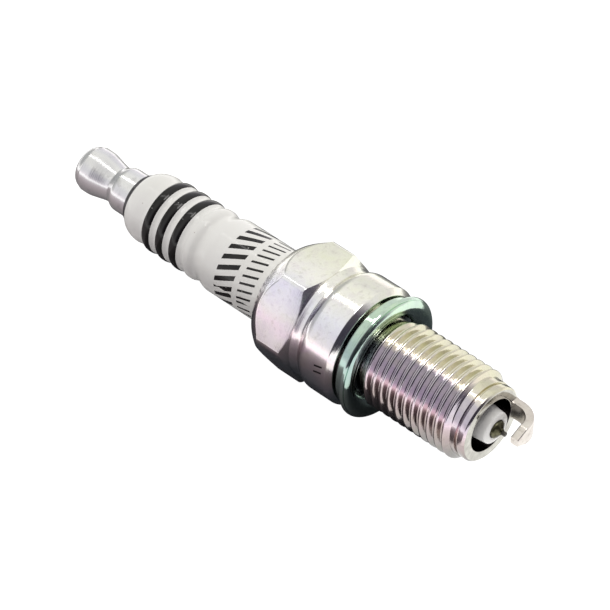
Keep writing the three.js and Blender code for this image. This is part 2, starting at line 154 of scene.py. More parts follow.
class Turning:
    """Rings of points about the plug's axis, joined into one skin."""

    def __init__(self, around):
        self.around = around
        self.points = []
        self.faces = []
        self.last = None

    def ring(self, stations, radii):
        """Adds one ring of points and returns their numbers."""
        first = len(self.points)
        for angle, x, r in zip(self.around, stations, radii):
            self.points.append(on_plug(x, r, angle))
        return list(range(first, len(self.points)))

    def add(self, stations, radii):
        """Adds a ring and joins it to the one before."""
        row = self.ring(stations, radii)
        if self.last:
            self.join(self.last, row)
        self.last = row

    def plain(self, outline):
        """Adds a round ring for each (station, radius) of an outline."""
        for x, r in outline:
            self.add([x] * len(self.around), [r] * len(self.around))

    def tip(self, station):
        """Closes the skin on the axis."""
        self.points.append(on_plug(station, 0, 0))
        centre = len(self.points) - 1
        row, count = self.last, len(self.last)
        self.faces += [(row[k], row[(k + 1) % count], centre) for k in range(count)]

    def join(self, one, other):
        count = len(one)
        for k in range(count):
            n = (k + 1) % count
            self.faces.append((one[k], one[n], other[n], other[k]))

    def thread(self, start, pitch, turns, tooth, fade):
        """A screw thread as one winding skin.

        tooth lists (offset, radius) over one pitch, and the tooth dies away over fade turns at
        each end of the thread.
        """
        count, marks = len(self.around), len(tooth) - 1
        root = tooth[0][1]
        index = {}

        def point(turn, column, mark):
            t = turn + self.around[column] / math.tau
            tall = max(0, min(1, t / fade, (turns - t) / fade))
            offset, radius = tooth[mark]
            self.points.append(on_plug(
                start + pitch * t + offset, root + (radius - root) * tall, self.around[column]))
            return len(self.points) - 1

        for turn in range(turns):
            for column in range(count):
                for mark in range(marks):
                    index[turn, column, mark] = point(turn, column, mark)
        for column in range(count):
            index[turns, column, 0] = point(turns, column, 0)
        for mark in range(1, marks + 1):
            index[turns, 0, mark] = point(turns, 0, mark)

        def at(turn, column, mark):
            if column == count:
                turn, column = turn + 1, 0
            if mark == marks and (turn, column) != (turns, 0):
                turn, mark = turn + 1, 0
            return index[turn, column, mark]

        for turn in range(turns):
            for column in range(count):
                for mark in range(marks):
                    self.faces.append((
                        at(turn, column, mark), at(turn, column + 1, mark),
                        at(turn, column + 1, mark + 1), at(turn, column, mark + 1)))
        before = self.last
        for column in range(count - 1):
            self.faces.append((before[column], before[column + 1],
                               at(0, column + 1, 0), at(0, column, 0)))
        self.faces.append([before[-1], before[0]]
                          + [at(0, 0, mark) for mark in range(marks + 1)]
                          + [at(0, count - 1, 0)])
        beyond = start + pitch * turns + tooth[-1][0] + 0.02
        after = self.ring([beyond] * count, [root] * count)
        for column in range(1, count - 1):
            self.faces.append((at(turns, column, 0), at(turns, column + 1, 0),
                               after[column + 1], after[column]))
        self.faces.append((at(turns, count - 1, 0), at(turns, 0, marks), after[0], after[-1]))
        self.faces.append([at(turns, 1, 0), after[1], after[0]]
                          + [at(turns, 0, mark) for mark in range(marks, -1, -1)])
        self.last = after

    def back_to_start(self):
        """Goes on from the first ring, to close the skin's other end."""
        self.last = list(range(len(self.around)))

    def close_loop(self):
        """Joins the last ring to the first, for a piece with a hole through it."""
        self.join(self.last, list(range(len(self.around))))


def hex_radius(angle):
    """The hexagon's radius at an angle, with its corners turned off."""
    sector = math.radians(60)
    off = (angle % sector) - sector / 2
    return min(HEX_CORNER, HEX_HALF / math.cos(off))


def tooth_outline(pitch, depth, root, crest):
    """One pitch of a rounded 60 degree thread, from root middle to root middle."""
    flank = depth * math.tan(math.radians(30))
    flat = crest / 2
    foot = flat + flank
    half = [(0, depth), (flat * 0.6, depth * 0.995), (flat + 0.05 * flank, depth * 0.95),
            (flat + 0.2 * flank, depth * 0.81), (foot - 0.2 * flank, depth * 0.19),
            (foot - 0.04 * flank, depth * 0.05), (foot + 0.06 * pitch, 0)]
    left = [(-pitch / 2, 0)] + [(-x, y) for x, y in reversed(half)]
    right = half[1:] + [(pitch / 2, 0)]
    return [(x, root + y) for x, y in left + right]


def make_shell():
    edge = 30 - math.degrees(math.acos(HEX_HALF / HEX_CORNER))
    columns = {round(k * COLUMN_STEP, 4) for k in range(int(360 / COLUMN_STEP))}
    for corner in range(0, 360, 60):
        columns |= {round((corner + side * edge) % 360, 4) for side in (-1, 1)}
    around = [math.radians(a) for a in sorted(columns)]
    skin = Turning(around)
    across = [hex_radius(a) for a in around]
    shoulder = HEX_CORNER - LIP_OUTER
    crimp_length = crimp_top - HEX_TOP
    tilt = [math.asin((r - LIP_OUTER) / shoulder) for r in across]

    def everywhere(value):
        return [value] * len(around)

    skin.add(everywhere(-crimp_top + LIP_DEPTH), everywhere(LIP_INNER))
    skin.add(everywhere(-crimp_top + 0.12), everywhere(LIP_INNER))
    skin.add(everywhere(-crimp_top), everywhere(LIP_INNER + 0.1))

    def crimp_station(t):
        return -HEX_TOP - crimp_length * math.cos(t) ** CRIMP_FLARE

    # The crimping die leaves a shallow groove just outside the lip.
    for degrees, drop in ((0, 0), (2, 0), (4, 0.02), (6, 0.07), (7.5, 0.17), (9, 0.19),
                          (10.5, 0.13), (12, 0.06), (14, 0.02), (LIP_ANGLE, 0)):
        t = math.radians(degrees)
        skin.add(everywhere(crimp_station(t) + drop), everywhere(LIP_OUTER + shoulder * math.sin(t)))
    lip = math.radians(LIP_ANGLE)
    for i in range(1, 13):
        share = min(i / 12, 0.995)
        turned = [lip + (a - lip) * share for a in tilt]
        skin.add([crimp_station(t) for t in turned],
                 [LIP_OUTER + shoulder * math.sin(t) for t in turned])
    # The six flats' lower corners are turned to a chamfer.
    flat_top = [crimp_station(a) for a in tilt]
    chamfer_drop = HEX_CORNER - (HEX_HALF - 0.12)
    flat_end = [-HEX_BOTTOM + HEX_CHAMFER * (HEX_CORNER - r) / chamfer_drop for r in across]
    for step in (0.04, 0.5, 0.97):
        skin.add([a + (b - a) * step for a, b in zip(flat_top, flat_end)], across)
    skin.add([x + 0.03 for x in flat_end],
             [r - 0.03 * chamfer_drop / HEX_CHAMFER for r in across])
    skin.plain(softened([
        (-HEX_BOTTOM + HEX_CHAMFER * 0.98, HEX_HALF - 0.13, 0),
        (-HEX_BOTTOM + HEX_CHAMFER + 0.15, HEX_HALF - 0.16, 0.1),
        (-NECK_HEIGHT - 0.5, NECK_RADIUS + 0.02, 0.5),
        (-NECK_HEIGHT + 0.02, NECK_RADIUS, 0.05),
        (-NECK_HEIGHT + 0.1, NECK_RADIUS - 0.12, 0.04),
        (-NECK_HEIGHT + 0.2, NECK_RADIUS + 0.04, 0.05),
        (-COLLAR_HEIGHT - 0.1, COLLAR_RADIUS - 0.16, 0.22),
        (-COLLAR_HEIGHT + 0.4, COLLAR_RADIUS, 0.3),
        (-0.72, COLLAR_RADIUS, 0.1),
        (0, COLLAR_RADIUS - 0.66, 0.1),
        (0, RELIEF_RADIUS, 0.2),
        (THREAD_START - THREAD_PITCH / 2 - 0.05, RELIEF_RADIUS, 0.1),
        (THREAD_START - THREAD_PITCH / 2 - 0.02, THREAD_RADIUS - THREAD_DEPTH, 0),
    ]))
    tooth = tooth_outline(THREAD_PITCH, THREAD_DEPTH, THREAD_RADIUS - THREAD_DEPTH, THREAD_CREST)
    skin.thread(THREAD_START, THREAD_PITCH, THREAD_TURNS, tooth, THREAD_FADE)
    # The end collar and end face follow, and then the bore back up to the lip.
    skin.plain(softened([
        (END_COLLAR_START - 0.34, THREAD_RADIUS - THREAD_DEPTH - 0.04, 0),
        (END_COLLAR_START - 0.28, RELIEF_RADIUS - END_GROOVE, 0.08),
        (END_COLLAR_START - 0.14, RELIEF_RADIUS - END_GROOVE, 0.05),
        (END_COLLAR_START, RELIEF_RADIUS, 0.08),
        (REACH - 0.26, RELIEF_RADIUS, 0.1),
        (REACH, RELIEF_RADIUS - 0.28, 0.1),
        (REACH, BORE_RADIUS, 0.12),
        (BORE_STEP + 0.5, BORE_RADIUS, 0.1),
        (BORE_STEP, LEG_BORE, 0.1),
        (-CHAMBER_FLOOR + (CHAMBER_RADIUS - LEG_BORE) * 0.6, LEG_BORE, 0.2),
        (-CHAMBER_FLOOR, CHAMBER_RADIUS, 0.2),
        (-crimp_top + 2.2, CHAMBER_RADIUS, 0.4),
        (-crimp_top + 1.0, LIP_INNER + 0.06, 0),
    ]))
    skin.close_loop()
    return mesh_piece("shell_body", skin.points, skin.faces)


def display(red, green, blue):
    """A colour as the eye reads it, 0 to 255, in the renderer's linear scale."""
    def linear(value):
        v = value / 255
        return v / 12.92 if v <= 0.04045 else ((v + 0.055) / 1.055) ** 2.4
    return (linear(red), linear(green), linear(blue), 1)


class Finish:
    """A procedural surface built round one Principled shader."""

    def __init__(self, name, metallic, roughness):
        self.material = bpy.data.materials.new(name)
        self.material.use_nodes = True
        self.nodes = self.material.node_tree.nodes
        self.links = self.material.node_tree.links
        self.shader = self.nodes["Principled BSDF"]
        self.shader.inputs["Metallic"].default_value = metallic
        self.shader.inputs["Roughness"].default_value = roughness
        self.place = self.nodes.new("ShaderNodeTexCoord").outputs["Object"]

    def node(self, kind, inputs=(), **settings):
        """A node whose inputs are linked to sockets or set to plain values."""
        made = self.nodes.new(kind)
        for key, value in settings.items():
            setattr(made, key, value)
        for socket, value in dict(inputs).items():
            if isinstance(value, bpy.types.NodeSocket):
                self.links.new(value, made.inputs[socket])
            else:
                made.inputs[socket].default_value = value
        return made

    def maths(self, operation, *values):
        return self.node("ShaderNodeMath", dict(enumerate(values)),
                         operation=operation).outputs[0]

    def noise(self, scale, detail=3, stretch=(1, 1, 1)):
        moved = self.node("ShaderNodeMapping", {"Vector": self.place, "Scale": stretch})
        return self.node("ShaderNodeTexNoise", {
            "Vector": moved.outputs[0], "Scale": scale, "Detail": detail}).outputs["Fac"]

    def ramp(self, value, stops):
        made = self.node("ShaderNodeValToRGB", {"Fac": value})
        band = made.color_ramp
        while len(band.elements) < len(stops):
            band.elements.new(0.5)
        for element, (position, colour) in zip(band.elements, stops):
            element.position = position
            element.color = colour
        return made.outputs["Color"]

    def blend(self, share, one, other, mode="MIX"):
        made = self.node("ShaderNodeMix", data_type="RGBA", blend_type=mode)
        for socket, value in ((0, share), (6, one), (7, other)):
            if isinstance(value, bpy.types.NodeSocket):
                self.links.new(value, made.inputs[socket])
            else:
                made.inputs[socket].default_value = value
        return made.outputs[2]

    def along_and_around(self):
        """Sockets for metres along the axis and for the angle about it, -pi to pi."""
        parts = self.node("ShaderNodeSeparateXYZ", {0: self.place}).outputs
        rise = self.maths("SUBTRACT", parts[2], axis_z)
        return parts[0], self.maths("ARCTAN2", rise, parts[1])

    def colour(self, value):
        self.set("Base Color", value)

    def set(self, socket, value):
        if isinstance(value, bpy.types.NodeSocket):
            self.links.new(value, self.shader.inputs[socket])
        else:
            self.shader.inputs[socket].default_value = value

    def vary_roughness(self, value, low, high):
        made = self.node("ShaderNodeMapRange", {0: value, 3: low, 4: high})
        self.set("Roughness", made.outputs[0])

    def relief(self, value, height, strength=1.0):
        made = self.node("ShaderNodeBump", {
            "Height": value, "Distance": height, "Strength": strength})
        self.set("Normal", made.outputs[0])


def zinc_plate(name, tints_and_painted_light, roughness=(0.1, 0.2), strokes=()):
    """Bright zinc whose passivation film drifts in tint round the plug and in soft clouds, with
    painted shade and light round the plug as well.

    The colour ramps hold the colours round the collar and, where there is one, round the thread:
    passivation tint with painted shade underneath, painted light on top and painted highlight bands.
    strokes are the angles of short stamped marks on the collar.
    """
    finish = Finish(name, 1.0, 0.15)
    along, angle = finish.along_and_around()
    clouds = finish.noise(170, 4)
    drift = finish.maths("MULTIPLY", finish.maths("SUBTRACT", clouds, 0.5), 0.1)
    turn = finish.maths("ADD", finish.maths("DIVIDE", angle, math.tau), 0.5)
    place = finish.maths("ADD", turn, drift)
    station = finish.maths("DIVIDE", finish.maths("SUBTRACT", along, seat_x), MM)
    # The ramp round the plug paints shade underneath, light on top and highlight bands over the
    # passivation tint.
    tint = finish.ramp(place, tints_and_painted_light[0])
    if len(tints_and_painted_light) > 1:
        on_thread = finish.maths("GREATER_THAN", station, FILM_CHANGE)
        tint = finish.blend(on_thread, tint, finish.ramp(place, tints_and_painted_light[1]))
    patches = finish.ramp(finish.noise(800, 5), [
        (0.35, display(236, 228, 240)), (0.5, display(252, 252, 250)),
        (0.65, display(246, 248, 232))])
    tint = finish.blend(0.3, tint, patches, "MULTIPLY")
    grain = finish.ramp(finish.noise(1700, 6), [
        (0.3, display(196, 192, 188)), (0.46, display(255, 255, 255))])
    tint = finish.blend(0.25, tint, grain, "MULTIPLY")
    for stroke_angle in strokes:
        row = finish.maths("COMPARE", station, STROKE_STATION, STROKE_LENGTH / 2)
        from_middle = finish.maths("SUBTRACT", station, STROKE_STATION)
        lean = finish.maths("MULTIPLY", from_middle, STROKE_LEAN)
        stroke = finish.maths("COMPARE", finish.maths("ADD", angle, lean), stroke_angle,
                              STROKE_HALF_ANGLE)
        tint = finish.blend(finish.maths("MULTIPLY", row, stroke), tint, display(52, 46, 50))
    finish.colour(tint)
    finish.vary_roughness(clouds, *roughness)
    turning = finish.noise(900, 3, (8, 1, 1))
    finish.relief(turning, 0.000012)
    return finish


# Collar colours round the plug: passivation tint with painted shade underneath, painted light on
# top, a painted highlight band near 0.8 and a pink painted highlight band near 0.945.
collar_tint_and_painted_light = [
    (0.00, display(206, 198, 200)), (0.08, display(176, 190, 196)),
    (0.20, display(190, 190, 194)), (0.45, display(220, 216, 218)),
    (0.62, display(232, 232, 220)), (0.72, display(240, 240, 224)),
    (0.80, display(250, 248, 244)), (0.85, display(236, 236, 246)),
    (0.92, display(244, 240, 240)), (0.945, display(244, 228, 235)),
    (0.965, display(228, 220, 220)), (1.00, display(206, 198, 200)),
]
# Thread colours round the plug: passivation tint with painted shade underneath and in the grooves,
# painted light on top, and painted highlight bands near 0.8 and 0.945.
thread_tint_and_painted_light = [
    (0.00, display(178, 164, 162)), (0.08, display(150, 147, 144)),
    (0.20, display(150, 149, 149)), (0.45, display(184, 182, 176)),
    (0.62, display(204, 201, 178)), (0.73, display(220, 216, 190)),
    (0.80, display(240, 234, 224)), (0.825, display(203, 197, 206)),
    (0.92, display(208, 198, 209)), (0.945, display(232, 212, 220)),
    (0.965, display(200, 184, 184)), (1.00, display(178, 164, 162)),
]


def shell_plate():
    """The plate, with a cut end face at the firing end and painted shade in the bore."""
    plate = zinc_plate("zinc_plate", (collar_tint_and_painted_light, thread_tint_and_painted_light), strokes=STROKE_ANGLES)
    y_and_z = plate.node("ShaderNodeVectorMath", {0: plate.place, 1: (0, 1, 1)},
                         operation="MULTIPLY").outputs[0]
    from_axis = plate.node("ShaderNodeVectorMath", {0: y_and_z, 1: (0, 0, axis_z)},
                           operation="DISTANCE").outputs["Value"]
    in_bore = plate.maths("LESS_THAN", from_axis, (BORE_RADIUS + 0.04) * MM)
    on_end = plate.maths("GREATER_THAN", plate.along_and_around()[0], shell_high.x - 0.05 * MM)
    film_and_painted_light = plate.shader.inputs["Base Color"].links[0].from_socket
    # The bore is painted dark: painted shade inside the shell.
    painted_bore_shade = plate.ramp(plate.noise(1500, 4), [
        (0.3, display(34, 30, 32)), (0.7, display(64, 58, 60))])
    cut_steel = plate.ramp(plate.noise(1200, 4), [
        (0.3, display(176, 174, 166)), (0.7, display(204, 203, 194))])
    plate.colour(plate.blend(in_bore, plate.blend(on_end, film_and_painted_light, cut_steel), painted_bore_shade))
    return plate.material


shell = make_shell()
shell.data.materials.append(shell_plate())
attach(shell, "plug")
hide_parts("shell")

# ---- gasket ----------------------------------------------------------------------------------
# The sealing ring, one strip of plated steel folded over on itself. It sits loose on the
# thread: its inner lip holds it behind the first turn.
gasket_low, gasket_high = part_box("gasket")
gasket_back = (gasket_low.x - seat_x) / MM
gasket_front = (gasket_high.x - seat_x) / MM
GASKET_RADIUS = (gasket_high.z - gasket_low.z) / MM / 2
GASKET_LIP = 5.5
SHEET = 0.4
GASKET_INNER = 6.4
ROLL_HEIGHT = 1.15
ROLL_LENGTH = 0.8
REAR_DROP = 0.75
SEAM_ANGLE = 58
SEAM_DEPTH = 0.09


def evenly(count):
    """Angles at even steps, for a piece that is round all over."""
    return [math.tau * k / count for k in range(count)]


def make_gasket():
    skin = Turning(evenly(144))
    back, front = gasket_back, gasket_front
    rear = GASKET_RADIUS - REAR_DROP
    ridge = front - ROLL_LENGTH
    outline = softened([
        (back, GASKET_INNER, 0), (back, rear - 0.15, 0.2), (back + 0.2, rear, 0.1),
        (ridge - 0.45, rear, 0.1), (ridge - 0.22, rear + 0.2, 0.05),
        (ridge - 0.12, GASKET_RADIUS - 0.06, 0)])
    # The rolled front has a fine seam where the sheet's edge ends.
    for degrees in range(98, -1, -5):
        a = math.radians(degrees)
        seam = SEAM_DEPTH if degrees == SEAM_ANGLE else 0
        outline.append((ridge + (ROLL_LENGTH - seam) * math.cos(a),
                        GASKET_RADIUS - ROLL_HEIGHT + (ROLL_HEIGHT - seam) * math.sin(a)))
    outline += softened([
        (front, GASKET_RADIUS - ROLL_HEIGHT, 0),
        (front - 0.05, 6.5, 0.35),
        (front - 0.6, 5.75, 0.3),
        (front - 0.9, GASKET_LIP, 0.12),
        (front - 1.0, GASKET_LIP + SHEET, 0.1),
        (front - 0.62, 6.35, 0.2),
        (front - SHEET, 7.1, 0.2),
        (ridge, GASKET_RADIUS - SHEET, 0.5),
        (ridge - 0.15, rear - SHEET, 0.1),
        (back + SHEET, rear - SHEET, 0.1),
        (back + SHEET, GASKET_INNER + 0.05, 0.1),
        (back, GASKET_INNER, 0),
    ])[1:-1]
    skin.plain(outline)
    skin.close_loop()
    return mesh_piece("gasket_ring", skin.points, skin.faces, sharp=50)


gasket = make_gasket()
# Gasket colours round the plug: pale green passivation tint with painted light on top and painted
# shade on the other sides.
gasket_tint_and_painted_light = [
    (0.00, display(176, 198, 188)), (0.2, display(180, 198, 187)),
    (0.5, display(186, 208, 197)), (0.75, display(208, 230, 208)),
    (0.9, display(176, 200, 194)), (1.0, display(176, 198, 188)),
]
gasket.data.materials.append(
    zinc_plate("gasket_plate", (gasket_tint_and_painted_light,), (0.06, 0.12)).material)
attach(gasket, "gasket")
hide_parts("gasket")

# ---- insulator -------------------------------------------------------------------------------
# One piece of fired alumina, ground to shape with ribs against flash-over, and glazed white.
# Black rings and two rows of slanted bars are printed under the glaze.
insulator_low, insulator_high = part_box("insulator")
insulator_top = (seat_x - insulator_low.x) / MM
nose_tip = (insulator_high.x - seat_x) / MM
BODY_RADIUS = 5.13
RIB_RADIUS = 4.97
RIB_DEPTH = 0.4
RIB_PITCH = 2.35
GROOVE_SHARPNESS = 1.5
RIBS = 4
TOP_EDGE = 3.55
TOP_SHOULDER = 4.76
SHOULDER_LENGTH = 2.35
SHOULDER_SHARPNESS = 1.15
NOSE_RADIUS = 2.15
NOSE_BORE = 1.235
INSULATOR_BORE = 1.6
FLANGE_RADIUS = 6.42
FLANGE_TOP = 8.3
LEG_RADIUS = 3.97
LEG_END = 6.95
NOSE_ROOT = 3.3
HEAD_SEAT = 4.0
BODY_RISE = 2.1
ribs_top = insulator_top - SHOULDER_LENGTH - RIB_PITCH / 2
ribs_bottom = ribs_top - RIBS * RIB_PITCH


def make_insulator():
    skin = Turning(evenly(144))
    shoulder_height = insulator_top - SHOULDER_LENGTH
    outline = [(-insulator_top + 0.15, INSULATOR_BORE), (-insulator_top, INSULATOR_BORE + 0.15)]
    for i in range(15):
        a = math.pi / 2 * i / 14
        outline.append((-shoulder_height - SHOULDER_LENGTH * math.cos(a) ** SHOULDER_SHARPNESS,
                        TOP_EDGE + (TOP_SHOULDER - TOP_EDGE) * math.sin(a)))
    steps = 14
    for i in range(RIBS * steps + 1):
        turn = math.tau * i / steps
        wave = (1 + math.cos(turn)) / 2
        outline.append((-(ribs_top - RIB_PITCH * i / steps),
                        RIB_RADIUS - RIB_DEPTH * wave ** GROOVE_SHARPNESS))
    for i in range(1, 9):
        t = i / 8
        ease = t * t * (3 - 2 * t)
        outline.append((-(ribs_bottom - BODY_RISE * t),
                        RIB_RADIUS - RIB_DEPTH + (BODY_RADIUS - RIB_RADIUS + RIB_DEPTH) * ease))
    outline += softened([
        (-(ribs_bottom - BODY_RISE), BODY_RADIUS, 0),
        (-FLANGE_TOP - 0.9, BODY_RADIUS, 0.3),
        (-FLANGE_TOP, FLANGE_RADIUS, 0.2),
        (-CHAMBER_FLOOR - 0.13, FLANGE_RADIUS, 0.2),
        (0.14, LEG_RADIUS, 0.2),
        (LEG_END, LEG_RADIUS, 0.1),
        (LEG_END + 0.4, NOSE_ROOT, 0.2),
        (nose_tip - 0.12, NOSE_RADIUS, 0.25),
        (nose_tip, NOSE_BORE + 0.28, 0.1),
        (nose_tip - 0.05, NOSE_BORE, 0.06),
        (HEAD_SEAT + 0.05, NOSE_BORE, 0),
        (HEAD_SEAT, INSULATOR_BORE, 0),
        (-insulator_top + 0.15, INSULATOR_BORE, 0),
    ], 5)[1:-1]
    skin.plain(outline)
    skin.close_loop()
    return mesh_piece("insulator_ceramic", skin.points, skin.faces, sharp=50)


RING_WIDTH = 1.28
BIG_BARS = {"height": 20.7, "tall": 3.0, "pitch": 1.56, "share": 0.46, "slant": 0.5, "shift": 0.0}
SMALL_BARS = {"height": 17.2, "tall": 2.3, "pitch": 1.05, "share": 0.30, "slant": 0.3, "shift": 0.4}


def glaze_with_print():
    """White glaze over black print: a ring on the crests of the first three ribs and two rows of
    plain bars.
    """
    finish = Finish("white_glaze", 0.0, 0.1)
    along, angle = finish.along_and_around()
    station = finish.maths("DIVIDE", finish.maths("SUBTRACT", along, seat_x), MM)
    ink = None
    for rib in range(1, RIBS):
        middle = -(ribs_top - RIB_PITCH * (rib - 0.5))
        ring = finish.maths("COMPARE", station, middle, RING_WIDTH / 2)
        ink = ring if ink is None else finish.maths("MAXIMUM", ink, ring)
    round_mm = finish.maths("MULTIPLY", angle, BODY_RADIUS)

    def bars(height, tall, pitch, share, slant, shift):
        """A row of slanted bars round the body, each inked over its share of the pitch."""
        row = finish.maths("COMPARE", station, -height, tall / 2)
        lean = finish.maths("MULTIPLY", finish.maths("ADD", station, height), slant)
        place = finish.maths("ADD", finish.maths("ADD", round_mm, lean), shift)
        phase = finish.maths("FRACT", finish.maths("DIVIDE", place, pitch))
        bar = finish.maths("LESS_THAN", phase, share)
        return finish.maths("MULTIPLY", row, bar)

    marks = finish.maths("MAXIMUM", bars(**BIG_BARS), bars(**SMALL_BARS))
    ink = finish.maths("MAXIMUM", ink, marks)
    worn = finish.maths("GREATER_THAN", finish.noise(2600, 2), 0.235)
    ink = finish.maths("MULTIPLY", ink, worn)
    body = finish.ramp(finish.noise(90, 3), [
        (0.3, display(243, 242, 236)), (0.7, display(249, 248, 245))])
    specks = finish.ramp(finish.noise(1900, 2), [
        (0.22, display(150, 120, 108)), (0.26, display(255, 255, 255))])
    body = finish.blend(0.5, body, specks, "MULTIPLY")
    black = finish.ramp(finish.noise(800, 3), [
        (0.3, display(9, 8, 8)), (0.75, display(30, 28, 27))])
    finish.colour(finish.blend(ink, body, black))
    finish.vary_roughness(finish.noise(220, 3), 0.1, 0.18)
    finish.set("Coat Weight", 0.1)
    finish.set("Specular IOR Level", 0.32)
    finish.set("Coat Roughness", 0.05)
    finish.relief(finish.noise(420, 3), 0.00001)
    return finish.material


insulator = make_insulator()
insulator.data.materials.append(glaze_with_print())
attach(insulator, "plug")
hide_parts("insulator")

# ---- terminal stud ---------------------------------------------------------------------------
# The steel stud that the glass seal holds in the insulator. Its dark flange rests on the
# ceramic, and the nut screws on the M4 post above it.
stud_low, stud_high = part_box("terminal_stud")
stud_top = (seat_x - stud_low.x) / MM
stud_end = (seat_x - stud_high.x) / MM
STUD_FLANGE = 3.5
FLANGE_THICK = 0.56
POST_THREAD = (1.93, 0.7, 0.38)
POST_TURNS = 7
SHANK_RADIUS = 1.42
SHANK_TIP_RADIUS = 1.15
stud_seat = insulator_top + 0.05


def make_stud():
    skin = Turning(evenly(60))
    radius, pitch, depth = POST_THREAD
    root = radius - depth
    thread_top = -stud_top + 0.55
    skin.plain(softened([
        (-stud_top, 0.6, 0), (-stud_top, root - 0.3, 0.05), (-stud_top + 0.25, root, 0.05),
        (thread_top - pitch / 2 - 0.02, root, 0)]))
    skin.thread(thread_top, pitch, POST_TURNS, tooth_outline(pitch, depth, root, 0.1), 0.4)
    skin.plain(softened([
        (-stud_seat - FLANGE_THICK - 0.25, root, 0),
        (-stud_seat - FLANGE_THICK, root, 0.1),
        (-stud_seat - FLANGE_THICK, STUD_FLANGE - 0.02, 0.08),
        (-stud_seat - 0.02, STUD_FLANGE, 0.1),
        (-stud_seat, SHANK_RADIUS, 0.1),
        (-stud_end - 1.6, SHANK_RADIUS, 0.1),
        (-stud_end - 1.5, SHANK_TIP_RADIUS, 0.1),
        (-stud_end, SHANK_TIP_RADIUS, 0.1),
        (-stud_end, 0.5, 0),
    ]))
    skin.tip(-stud_end)
    skin.back_to_start()
    skin.tip(-stud_top)
    return mesh_piece("terminal_stud_steel", skin.points, skin.faces)


def oxidised_steel():
    finish = Finish("dark_stud_steel", 0.85, 0.4)
    finish.colour(finish.ramp(finish.noise(700, 4), [
        (0.3, display(62, 62, 66)), (0.7, display(104, 103, 104))]))
    finish.vary_roughness(finish.noise(300, 3), 0.32, 0.5)
    finish.relief(finish.noise(2500, 3), 0.00001)
    return finish.material


stud = make_stud()
stud.data.materials.append(oxidised_steel())
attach(stud, "plug")
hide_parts("terminal_stud")

# ---- terminal nut ----------------------------------------------------------------------------
# The screw-on terminal that a plug cap clips over, turned from bar and polished bright: base,
# neck and rounded head, with a blind M4 hole.
nut_low, nut_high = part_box("terminal_nut")
nut_top = (seat_x - nut_low.x) / MM
nut_seat = (seat_x - nut_high.x) / MM
NUT_BASE = 3.07
NUT_BASE_LENGTH = 2.75
NUT_NECK = 2.53
NUT_HEAD = 3.15
NUT_END = 2.3
NUT_BORE = 1.99
NUT_BORE_DEPTH = 6.9


def make_nut():
    skin = Turning(evenly(96))
    bore_end = -nut_seat - NUT_BORE_DEPTH
    neck = nut_seat + NUT_BASE_LENGTH + 1.35
    outline = softened([
        (-nut_top, 0.5, 0),
        (-nut_top, NUT_END - 0.3, 0.4),
        (-nut_top + 0.5, NUT_HEAD - 0.32, 0.5),
        (-nut_top + 1.3, NUT_HEAD - 0.08, 0.1),
        (-nut_top + 1.42, NUT_HEAD, 0.05),
        (-nut_top + 2.7, NUT_HEAD, 0.5),
        (-neck - 0.35, NUT_NECK + 0.03, 0.9),
        (-neck + 0.35, NUT_NECK, 0.12),
        (-nut_seat - NUT_BASE_LENGTH - 0.1, NUT_BASE - 0.06, 0.2),
        (-nut_seat - NUT_BASE_LENGTH + 0.3, NUT_BASE, 0.15),
        (-nut_seat - 0.14, NUT_BASE, 0.05),
        (-nut_seat, NUT_BASE - 0.14, 0.05),
        (-nut_seat, NUT_BORE + 0.2, 0.05),
        (-nut_seat - 0.2, NUT_BORE, 0.05),
        (bore_end, NUT_BORE, 0.1),
        (bore_end, 0.5, 0),
    ], 6)
    skin.plain(outline)
    skin.tip(bore_end)
    skin.back_to_start()
    skin.tip(-nut_top)
    return mesh_piece("terminal_nut_turned", skin.points, skin.faces)


def polished_terminal():
    finish = Finish("polished_terminal", 1.0, 0.2)
    tint = finish.ramp(finish.noise(240, 4), [
        (0.3, display(224, 223, 225)), (0.7, display(240, 240, 239))])
    stain = finish.ramp(finish.noise(900, 5), [
        (0.3, display(206, 204, 206)), (0.42, display(255, 255, 255))])
    finish.colour(finish.blend(0.4, tint, stain, "MULTIPLY"))
    finish.vary_roughness(finish.noise(150, 3), 0.14, 0.24)
    finish.relief(finish.noise(500, 2, (14, 1, 1)), 0.000012)
    return finish.material


nut = make_nut()
nut.data.materials.append(polished_terminal())
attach(nut, "terminal_nut")
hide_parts("terminal_nut")

# ---- centre electrode ------------------------------------------------------------------------
# Nickel alloy rod with a copper core, ground to a cone where it leaves the nose, and a fine
# wire laser-welded into the cone's end.
rod_low, rod_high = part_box("centre_electrode")
rod_top = (rod_low.x - seat_x) / MM
cone_tip = (rod_high.x - seat_x) / MM
ROD_RADIUS = 1.17
CONE_LENGTH = 0.6
CONE_TIP = 0.42
WIRE_RADIUS = 0.3
WIRE_SOCKET = 0.34
ROD_HEAD = 1.42
ROD_HEAD_TOP = 1.27
CORE_RADIUS = 0.67
CORE_END = 17.55


def make_centre_electrode():
    skin = Turning(evenly(64))
    outline = softened([
        (rod_top, CORE_RADIUS, 0),
        (rod_top, ROD_HEAD_TOP, 0.05),
        (rod_top + 1.2, ROD_HEAD_TOP, 0.05),
        (rod_top + 1.22, ROD_HEAD, 0.05),
        (HEAD_SEAT - 0.1, ROD_HEAD, 0.05),
        (HEAD_SEAT - 0.05, ROD_RADIUS, 0.05),
        (cone_tip - CONE_LENGTH, ROD_RADIUS, 0.12),
        (cone_tip - 0.16, CONE_TIP + 0.05, 0.1),
        (cone_tip - 0.04, CONE_TIP, 0.05),
        (cone_tip, WIRE_RADIUS + 0.03, 0.02),
        (cone_tip - WIRE_SOCKET, WIRE_RADIUS + 0.03, 0),
    ])
    skin.plain(outline)
    skin.tip(cone_tip - WIRE_SOCKET)
    skin.back_to_start()
    skin.plain([(CORE_END, CORE_RADIUS)])
    skin.tip(CORE_END)
    return mesh_piece("centre_electrode_rod", skin.points, skin.faces)


